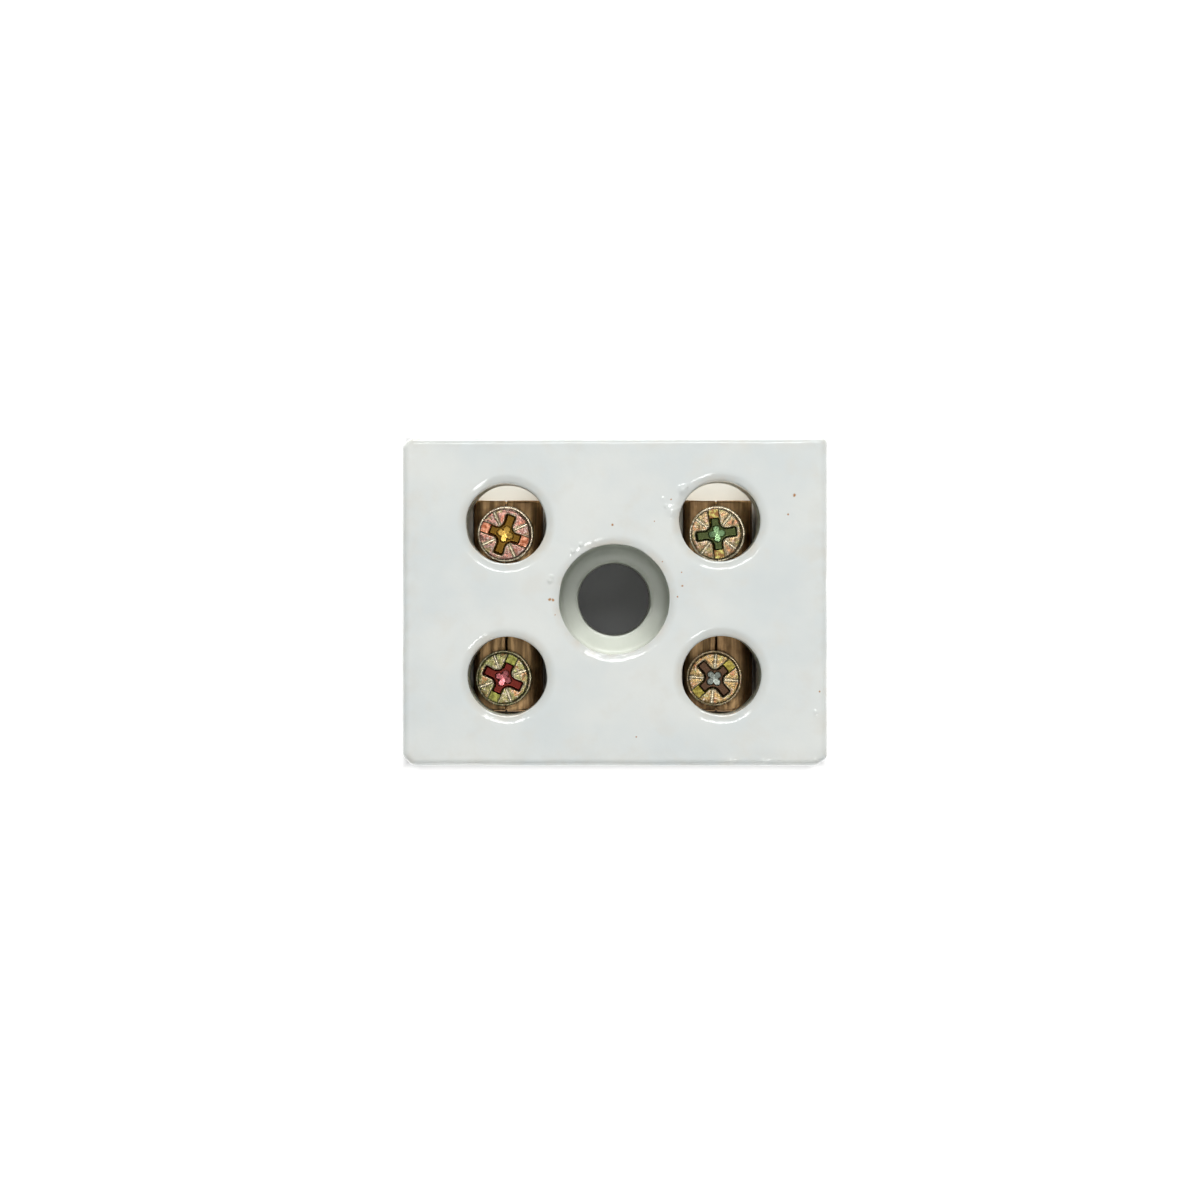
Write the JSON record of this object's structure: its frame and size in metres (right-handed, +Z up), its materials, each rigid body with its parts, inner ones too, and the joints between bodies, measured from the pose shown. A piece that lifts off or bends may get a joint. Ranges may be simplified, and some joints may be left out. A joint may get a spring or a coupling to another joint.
{
  "type": "terminal block",
  "caption": "Ceramic screw terminal block: wire channels with brass connector tubes, screws clamped through round wells, and a stepped fixing hole.",
  "frame": {"origin": "centre of the flat bottom face", "axes": "+Z up out of the bottom face to the face with the screw wells, +X along the long side, +Y along the wire channels, to the rear"},
  "size_m": [0.031, 0.0242, 0.02],
  "materials": {
    "porcelain": "white glaze with small rust-coloured specks",
    "brass": "dull drawn sheet with lengthwise streaks",
    "yellow_zinc": "steel with iridescent yellow zinc passivation"
  },
  "bodies": {
    "block": {"ceramic_body": "porcelain"},
    "left_terminal": {"left_connector_tube": "brass"},
    "right_terminal": {"right_connector_tube": "brass"},
    "left_front_screw": {"left_front_clamp_screw": "yellow_zinc"},
    "left_rear_screw": {"left_rear_clamp_screw": "yellow_zinc"},
    "right_front_screw": {"right_front_clamp_screw": "yellow_zinc"},
    "right_rear_screw": {"right_rear_clamp_screw": "yellow_zinc"}
  },
  "joints": [
    {"name": "left_terminal_play", "type": "slide", "parent": "block", "child": "left_terminal", "axis": [0, 1, 0], "range_m": [0, 0.0009]},
    {"name": "right_terminal_play", "type": "slide", "parent": "block", "child": "right_terminal", "axis": [0, 1, 0], "range_m": [0, 0.0009]},
    {"name": "left_front_screw_travel", "type": "slide", "parent": "left_terminal", "child": "left_front_screw", "axis": [0, 0, 1], "range_m": [-0.0003, 0.004]},
    {"name": "left_rear_screw_travel", "type": "slide", "parent": "left_terminal", "child": "left_rear_screw", "axis": [0, 0, 1], "range_m": [-0.0003, 0.004]},
    {"name": "right_front_screw_travel", "type": "slide", "parent": "right_terminal", "child": "right_front_screw", "axis": [0, 0, 1], "range_m": [-0.0003, 0.004]},
    {"name": "right_rear_screw_travel", "type": "slide", "parent": "right_terminal", "child": "right_rear_screw", "axis": [0, 0, 1], "range_m": [-0.0003, 0.004]}
  ]
}
